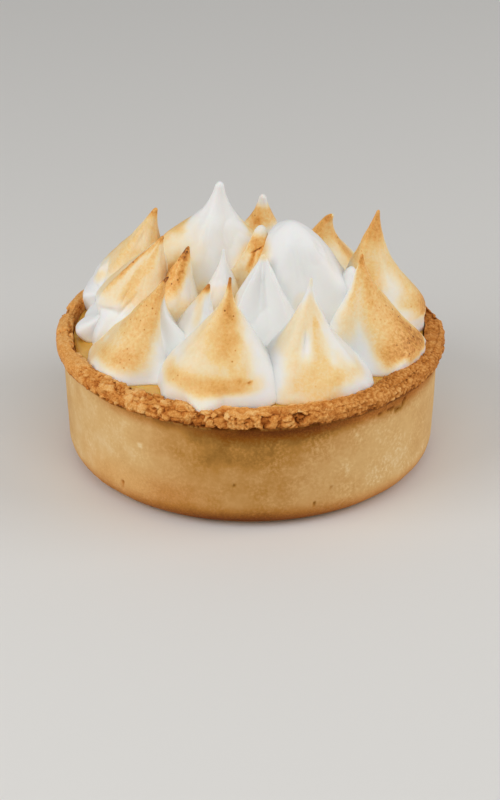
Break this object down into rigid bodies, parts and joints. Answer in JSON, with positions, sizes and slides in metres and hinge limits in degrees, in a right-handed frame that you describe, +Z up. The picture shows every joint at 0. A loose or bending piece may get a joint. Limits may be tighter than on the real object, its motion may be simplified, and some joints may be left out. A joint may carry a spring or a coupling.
{
  "type": "lemon meringue tart",
  "caption": "Individual round lemon meringue tart: deep shortcrust shell with a crumbly overhanging rim, lemon curd filling and piped meringue kisses with toasted peaks.",
  "frame": {"origin": "centre of the shell's flat underside, on the surface it stands on", "axes": "+Z up, -Y towards the front, +X to the right as seen from the front"},
  "size_m": [0.0956, 0.0956, 0.0676],
  "materials": {
    "shortcrust": "baked shortcrust, matt and golden",
    "lemon_curd": "set lemon curd, satin and slightly see-through",
    "meringue": "soft Italian meringue, satin white, torch-toasted in places"
  },
  "bodies": {
    "root": {"shell": "shortcrust", "lemon_curd": "lemon_curd", "kiss_front_centre": "meringue", "kiss_front_left": "meringue", "kiss_front_right": "meringue", "kiss_right": "meringue", "kiss_right_back": "meringue", "kiss_left": "meringue", "kiss_left_back": "meringue", "kiss_back_right": "meringue", "kiss_back_centre": "meringue", "kiss_back_left": "meringue", "kiss_small_left": "meringue", "kiss_inner_left": "meringue", "kiss_white_front": "meringue", "kiss_white_slender": "meringue", "kiss_white_right": "meringue", "kiss_dome": "meringue", "kiss_inner_back": "meringue", "kiss_tallest": "meringue"}
  },
  "joints": []
}
